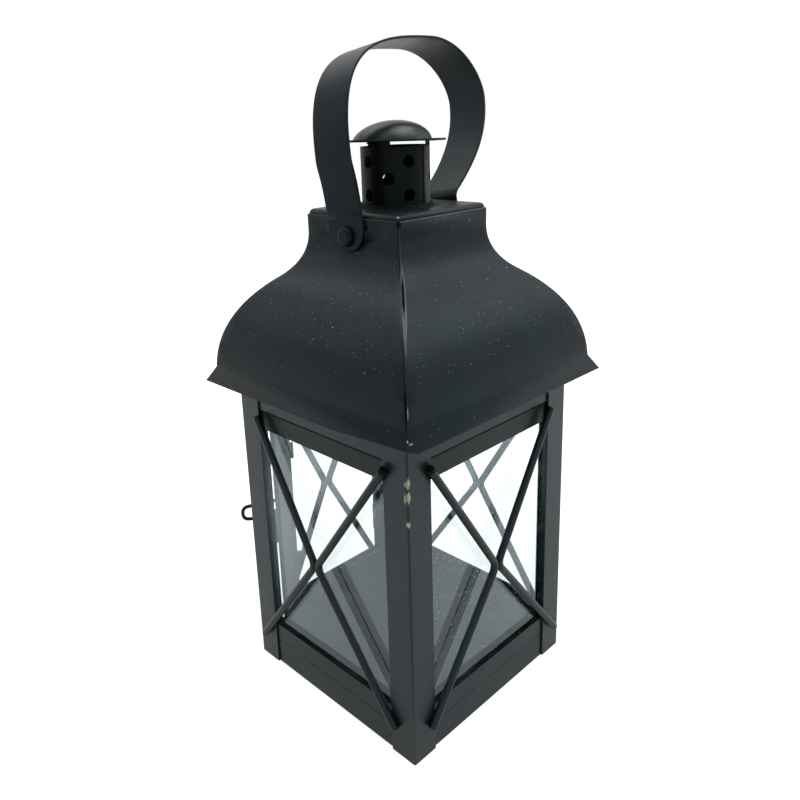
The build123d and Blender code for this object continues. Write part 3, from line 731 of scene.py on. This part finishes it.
crown_marks = (
    # Painted shadow of the cap over the crown round the tube.
    stain_and_painted_light((0.0, 0.0, 0.2645), (0.0330, 0.0330, 0.0200), BLACK, 0.85, 0.5),
    # Painted highlights along the crown's +X and +Y edges.
    stain_and_painted_light((0.0318, 0.0100, 0.2634), (0.0030, 0.0320, 0.0020), (0.05, 0.053, 0.056), 0.8),
    stain_and_painted_light((0.0, 0.0318, 0.2634), (0.0340, 0.0030, 0.0020), (0.06, 0.064, 0.067), 0.8),
    # Painted highlight: a bright spot at the crown's +X +Y corner, in steel colour.
    stain_and_painted_light((0.0309, 0.0309, 0.2637), (0.0008, 0.0008, 0.0010), STEEL, 0.7, 0.6),
    flecks((-0.0310, -0.0040, 0.2640), (0.0060, 0.0100, 0.0030), RUST),
)
strap_marks = (
    # Painted light on the arch at the -X side and on the top near +X.
    stain_and_painted_light((-0.0620, -0.0080, 0.3110), (0.0250, 0.0300, 0.0300), (0.090, 0.100, 0.107), 0.9, 0.8),
    stain_and_painted_light((0.0250, -0.0120, 0.3350), (0.0300, 0.0300, 0.0200), (0.045, 0.050, 0.054), 0.7),
    # Painted shade low on both legs.
    stain_and_painted_light((-0.0480, -0.0040, 0.2770), (0.0160, 0.0300, 0.0160), (0.009, 0.012, 0.014), 0.6, 0.7),
    stain_and_painted_light((0.0360, 0.0, 0.2650), (0.0060, 0.0200, 0.0450), (0.006, 0.009, 0.012), 0.8, 0.5),
    flecks((-0.0345, -0.0010, 0.2665), (0.0030, 0.0110, 0.0065), RUST),
)
chimney_marks = (
    # Painted highlight along the lap of the tube's seam.
    stain_and_painted_light((-0.0051, 0.0168, 0.2800), (0.0040, 0.0040, 0.0300), (0.085, 0.090, 0.088), 0.85, 0.4),
)
cap_marks = (
    dark_brim(0.0215, 0.0240, BLACK, 0.7),
    # Painted highlight on the dome.
    stain_and_painted_light((0.0092, 0.0156, 0.3013), (0.0080, 0.0080, 0.0045), (0.19, 0.195, 0.20), 0.9),
)

# Paints: shade, roughness, gloss, share of dust, marks of wear and of painted light and shade, and brushed
# grain
charcoal = (0.0140, 0.0195, 0.0225)
body_paint = black_paint("body_paint", charcoal, 0.37, 0.34, 0.05, post_marks)
base_paint = black_paint("base_paint", charcoal, 0.37, 0.25, 0.0, base_marks)
rail_paint = black_paint("rail_paint", (0.012, 0.0155, 0.0175), 0.38, 0.20, 0.03, rail_painted_shadow)
wire_paint = black_paint("wire_paint", (0.013, 0.016, 0.018), 0.34, 0.25, 0.0, rod_marks)
hinge_paint = black_paint("hinge_paint", (0.016, 0.019, 0.021), 0.42, 0.25)
roof_paint = black_paint("roof_paint", (0.0155, 0.0190, 0.0220), 0.42, 0.12, 1.0, roof_marks)
crown_paint = black_paint("crown_paint", (0.012, 0.015, 0.017), 0.36, 0.10, 0.2, crown_marks)
# The chimney's paint is darkened to stand in for the dark it mirrors: a painted dark reflection.
chimney_paint = black_paint("chimney_paint", (0.006, 0.007, 0.007), 0.42, 0.08, 0.0, chimney_marks)
cap_paint = black_paint("cap_paint", (0.013, 0.016, 0.017), 0.32, 0.16, 0.15, cap_marks)
brushed_along = (60.0, 900.0, 60.0)
strap_shade = (0.0150, 0.0180, 0.0210)
strap_paint = black_paint("strap_paint", strap_shade, 0.40, 0.10, 0.0, strap_marks, brushed_along)

# Dressing the pieces: first by slot, then those with a finish of their own
finishes = {
    "body_paint": body_paint,
    "roof_paint": roof_paint,
    "wire_paint": wire_paint,
    "strap_paint": strap_paint,
    "hinge_paint": hinge_paint,
}
for slot, paint in finishes.items():
    dress([name for name in nodes if slot_of[name] == slot], paint)
dress([name for name in nodes if name.endswith("_head_rail")], rail_paint)
dress(["base_tray", "left_sill", "right_sill", "rear_sill"], base_paint)
dress(["crown_plate"], crown_paint)
dress(["chimney_tube"], chimney_paint)
dress(["left_glass", "right_glass"], window_glass("side_window_glass", "X", 0.21, 0.3))
dress(["rear_glass", "door_glass"], window_glass("window_glass", "Y", 0.165))
left_sharp = ("chimney_tube", "chimney_cap", "right_roof_panel", "rear_roof_panel")
sheet_pieces = [name for name in nodes if slot_of[name] not in ("window_glass", "wire_paint")]
soften([name for name in sheet_pieces if name not in left_sharp])

spun_cap(cap_paint)
trimmed_roof("right_roof_skin", "right_roof_panel", RIGHT_TRIM, roof_paint)
trimmed_roof("rear_roof_skin", "rear_roof_panel", REAR_TRIM, roof_paint)
hip_seams(roof_paint)

bpy.context.scene.view_settings.view_transform = "Standard"
white_surround()
white_floor()
softbox("overhead_softbox", (-0.12, -0.25, 1.3), 1.4, 16.0)
softbox("right_softbox", (-0.76, 0.61, 1.0), 0.7, 5.0)
photo_camera()
